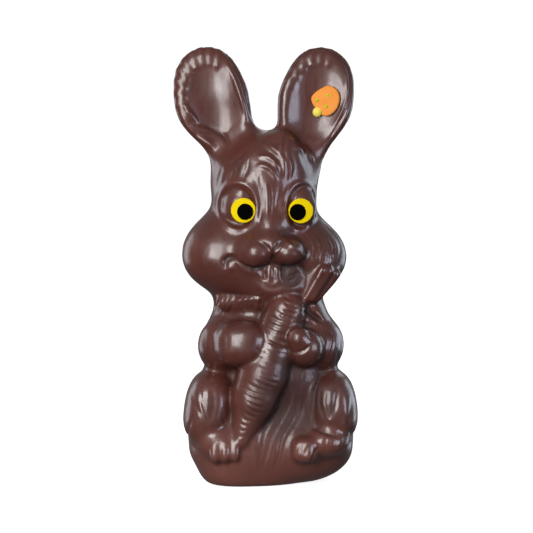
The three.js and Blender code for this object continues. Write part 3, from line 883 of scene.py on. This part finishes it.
sugarSettings = {
    # the main and the paler colour, roughness
    "yellow": (colour(239, 211, 6), colour(233, 205, 8), 0.5),
    "black": (colour(1, 1, 1), colour(3, 3, 3), 0.8),
    "orange": (colour(240, 151, 66), colour(244, 159, 78), 0.5),
    "green": (colour(168, 205, 32), colour(178, 213, 42), 0.5),
    "paleYellow": (colour(243, 227, 98), colour(245, 231, 122), 0.5),
    "grain": (2600, 2),  # scale and detail
    "clouds": (300, 2),
    "grainRough": 0.1,
    "bump": 0.2,
    "bumpHeight": 0.0001,
    "shine": 0.03,
    # sizes and places in mm
    "eyeDiameter": 11.3,
    "eyeThickness": 1.8,
    "eyeEdge": 0.5,
    "pupilDiameter": 7.4,
    "pupilHeight": 0.5,
    "pupilSunk": 0.4,
    "pupilEdge": 0.25,
    "rightEye": {"at": (-11, -19.2, 126.7), "spin": -6, "pupil": (0.9, -0.6)},
    "leftEye": {"at": (14.7, -18.2, 126.4), "spin": 8, "pupil": (-1.6, -0.5)},
    "egg": {"at": (26.3, 1.8, 175.7), "tilt": 4, "spin": -8, "thickness": 3, "edge": 0.9},
    "eggOutline": [
        # curves: start, two handles, end
        ((-6.3, 0.6), (-6.3, 3), (-2.5, 5.2), (0.6, 6.6)),
        ((0.6, 6.6), (3.2, 7.2), (6.6, 5), (6.9, 1.4)),
        ((6.9, 1.4), (7.2, -2.6), (4.4, -6.4), (1.6, -7.2)),
        ((1.6, -7.2), (-0.8, -7.6), (-2, -6.6), (-3.2, -4.6)),
        ((-3.2, -4.6), (-4.4, -3.4), (-6.3, -1.8), (-6.3, 0.6)),
    ],
    "curveParts": 12,
    "dots": [(1.3, 2.1), (-3.5, 0), (0.7, -2.9)],
    "dotDiameter": 1.5,
    "dotFlatness": 0.6,
    "dotSunk": 0.05,
    "bead": {"at": (22.7, -0.1, 170.4), "diameter": 4.6},
}


def sugarMaterial(name, main, pale, rough):
    own = sugarSettings
    recipe = Recipe(bpy.data.materials.new(name))
    place = recipe.add("ShaderNodeTexCoord", output="Object")
    grain = recipe.noise(place, *own["grain"])
    clouds = recipe.noise(place, *own["clouds"])
    base = recipe.mix(recipe.between(clouds, 0.4, 0.7), main, pale)
    bump = recipe.add("ShaderNodeBump", {}, {
        "Strength": own["bump"], "Distance": own["bumpHeight"], "Height": grain}, "Normal")
    return recipe.finish({"Base Color": base, "Roughness": rough + grain * own["grainRough"],
                          "Normal": bump, "Specular IOR Level": own["shine"]})


def facingFront(at, tilt, spin):
    # stands a flat piece up so that its own +Z looks out along -Y
    return (Matrix.Scale(mm, 4) @ Matrix.Translation(Vector(at))
            @ Matrix.Rotation(math.radians(spin), 4, "Z")
            @ Matrix.Rotation(math.radians(90 - tilt), 4, "X"))


def addPiece(name, shape, material, node):
    bmesh.ops.recalc_face_normals(shape, faces=shape.faces)
    mesh = bpy.data.meshes.new(name)
    shape.to_mesh(mesh)
    shape.free()
    mesh.shade_smooth()
    piece = bpy.data.objects.new(name, mesh)
    bpy.context.scene.collection.objects.link(piece)
    mesh.materials.append(material)
    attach(piece, "root")
    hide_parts(node)


def roundSlab(shape, middle, diameter, bottom, top, edge):
    # a flat disc with rounded rims
    made = bmesh.ops.create_cone(
        shape, cap_ends=True, segments=72, radius1=diameter / 2, radius2=diameter / 2,
        depth=top - bottom, matrix=Matrix.Translation(Vector((*middle, (top + bottom) / 2))))
    rims = {e for v in made["verts"] for e in v.link_edges if len(e.link_faces) == 2
            and any(len(f.verts) > 4 for f in e.link_faces)}
    bmesh.ops.bevel(shape, geom=list(rims), offset=edge, offset_type="OFFSET", affect="EDGES",
                    segments=5, profile=0.5, material=-1)


def makeEye(name, eye, node, yellow, black):
    place = facingFront(eye["at"], 0, eye["spin"])
    thick = sugarSettings["eyeThickness"]
    disc = bmesh.new()
    roundSlab(disc, (0, 0), sugarSettings["eyeDiameter"], 0, thick, sugarSettings["eyeEdge"])
    bmesh.ops.transform(disc, matrix=place, verts=disc.verts)
    addPiece(name + "_disc", disc, yellow, node)
    pupil = bmesh.new()
    roundSlab(pupil, eye["pupil"], sugarSettings["pupilDiameter"], thick - sugarSettings["pupilSunk"],
              thick + sugarSettings["pupilHeight"], sugarSettings["pupilEdge"])
    bmesh.ops.transform(pupil, matrix=place, verts=pupil.verts)
    addPiece(name + "_pupil", pupil, black, node)


def bezier(start, first, second, end, count):
    spots = []
    for i in range(count):
        t = i / count
        spots.append(tuple((1 - t) ** 3 * a + 3 * (1 - t) ** 2 * t * b + 3 * (1 - t) * t ** 2 * c
                           + t ** 3 * d for a, b, c, d in zip(start, first, second, end)))
    return spots


def makeEgg(orange, green):
    egg = sugarSettings["egg"]
    place = facingFront(egg["at"], egg["tilt"], egg["spin"])
    outline = [spot for curve in sugarSettings["eggOutline"]
               for spot in bezier(*curve, sugarSettings["curveParts"])]
    shape = bmesh.new()
    face = shape.faces.new([shape.verts.new((x, y, 0)) for x, y in outline])
    made = bmesh.ops.extrude_face_region(shape, geom=[face])
    top = [item for item in made["geom"] if isinstance(item, bmesh.types.BMVert)]
    bmesh.ops.translate(shape, verts=top, vec=(0, 0, egg["thickness"]))
    rims = [e for e in shape.edges if any(len(f.verts) > 4 for f in e.link_faces)]
    bmesh.ops.bevel(shape, geom=rims, offset=egg["edge"], offset_type="OFFSET", affect="EDGES",
                    segments=6, profile=0.5, material=-1)
    bmesh.ops.transform(shape, matrix=place, verts=shape.verts)
    addPiece("ear_egg_sugar", shape, orange, "ear_egg")
    dots = bmesh.new()
    radius = sugarSettings["dotDiameter"] / 2
    flat = Matrix.Diagonal(Vector((1, 1, sugarSettings["dotFlatness"], 1)))
    for across, up in sugarSettings["dots"]:
        spot = Matrix.Translation(Vector((across, up, egg["thickness"] - sugarSettings["dotSunk"])))
        bmesh.ops.create_uvsphere(dots, u_segments=24, v_segments=14, radius=radius, matrix=spot @ flat)
    bmesh.ops.transform(dots, matrix=place, verts=dots.verts)
    addPiece("ear_egg_dots", dots, green, "ear_egg")


def makeBead(paleYellow):
    bead = sugarSettings["bead"]
    ball = bmesh.new()
    place = Matrix.Scale(mm, 4) @ Matrix.Translation(Vector(bead["at"]))
    bmesh.ops.create_uvsphere(
        ball, u_segments=48, v_segments=28, radius=bead["diameter"] / 2, matrix=place)
    addPiece("ear_bead_sugar", ball, paleYellow, "ear_bead")


yellow = sugarMaterial("yellowSugar", *sugarSettings["yellow"])
black = sugarMaterial("blackSugar", *sugarSettings["black"])
orange = sugarMaterial("orangeSugar", *sugarSettings["orange"])
green = sugarMaterial("greenSugar", *sugarSettings["green"])
paleYellow = sugarMaterial("paleYellowSugar", *sugarSettings["paleYellow"])
makeEye("eye_right", sugarSettings["rightEye"], "eye_right", yellow, black)
makeEye("eye_left", sugarSettings["leftEye"], "eye_left", yellow, black)
makeEgg(orange, green)
makeBead(paleYellow)
print("sugar pieces done")

# ---- studio

studioSettings = {
    "backdrop": (1, 1, 1, 1),
    "backdropStrength": 1.05,  # as the camera sees it
    "skyStrength": (0.1, 0.23),  # as the figure is lit by it, from below and from above
    "skyTurn": (-0.5, 0.5),  # the heights between which it changes
    "aim": (0, 0, 0.1),
    "lamps": [
        # name, place, width, height, power, colour, lights the dull part of the surface too
        ("key", (-0.5, -1.12, 0.42), 0.55, 0.95, 17.3, (1, 0.985, 0.97), True),
        ("window", (0.98, -0.7, 0.12), 0.6, 0.5, 7.2, (0.74, 0.81, 1), False),
        ("rimLeft", (-0.85, 0.5, 0.2), 0.5, 0.8, 2.8, (0.88, 0.92, 1), False),
        ("rimRight", (0.8, 0.6, 0.2), 0.5, 0.8, 3.2, (0.8, 0.87, 1), False),
        ("back", (0.25, 1.05, 0.75), 0.6, 0.5, 1.3, (0.96, 0.98, 1), True),
    ],
    "floorColour": colour(250, 250, 250),
    "floorSize": 30,
    "floorRoughness": 0.9,
    "floorGlow": 0.86,
}


def addLamp(name, at, width, height, power, tint, onDull):
    data = bpy.data.lights.new(name, "AREA")
    data.shape = "RECTANGLE"
    data.size = width
    data.size_y = height
    data.energy = power
    data.color = tint
    lamp = bpy.data.objects.new(name, data)
    lamp.location = at
    lamp.visible_diffuse = onDull
    aim = Vector(studioSettings["aim"]) - Vector(at)
    lamp.rotation_euler = aim.to_track_quat("-Z", "Y").to_euler()
    bpy.context.scene.collection.objects.link(lamp)


def makeStudio():
    for lamp in studioSettings["lamps"]:
        addLamp(*lamp)
    world = Recipe(bpy.data.worlds.new("studio"))
    white = {"Color": studioSettings["backdrop"]}
    way = world.add("ShaderNodeTexCoord", output="Generated")
    height = world.add("ShaderNodeSeparateXYZ", {}, {"Vector": way}, "Z")
    strength = world.between(height, *studioSettings["skyTurn"], *studioSettings["skyStrength"])
    sky = world.add("ShaderNodeBackground", {}, {**white, "Strength": strength})
    backdrop = world.add("ShaderNodeBackground", {}, {
        **white, "Strength": studioSettings["backdropStrength"]})
    toCamera = world.add("ShaderNodeLightPath", output="Is Camera Ray")
    both = world.add("ShaderNodeMixShader", {}, {0: toCamera, 1: sky, 2: backdrop})
    world.add("ShaderNodeOutputWorld", {}, {"Surface": both})
    bpy.context.scene.world = world.owner
    ground = bmesh.new()
    bmesh.ops.create_grid(ground, x_segments=2, y_segments=2, size=studioSettings["floorSize"])
    mesh = bpy.data.meshes.new("floor")
    ground.to_mesh(mesh)
    ground.free()
    floor = bpy.data.objects.new("floor", mesh)
    bpy.context.scene.collection.objects.link(floor)
    recipe = Recipe(bpy.data.materials.new("paleFloor"))
    mesh.materials.append(recipe.finish({
        "Base Color": studioSettings["floorColour"], "Roughness": studioSettings["floorRoughness"],
        "Emission Color": studioSettings["backdrop"], "Emission Strength": studioSettings["floorGlow"]}))
    floor.visible_glossy = False
    floor.visible_diffuse = False
    bpy.context.scene.view_settings.view_transform = "Standard"


makeStudio()
print("studio done")
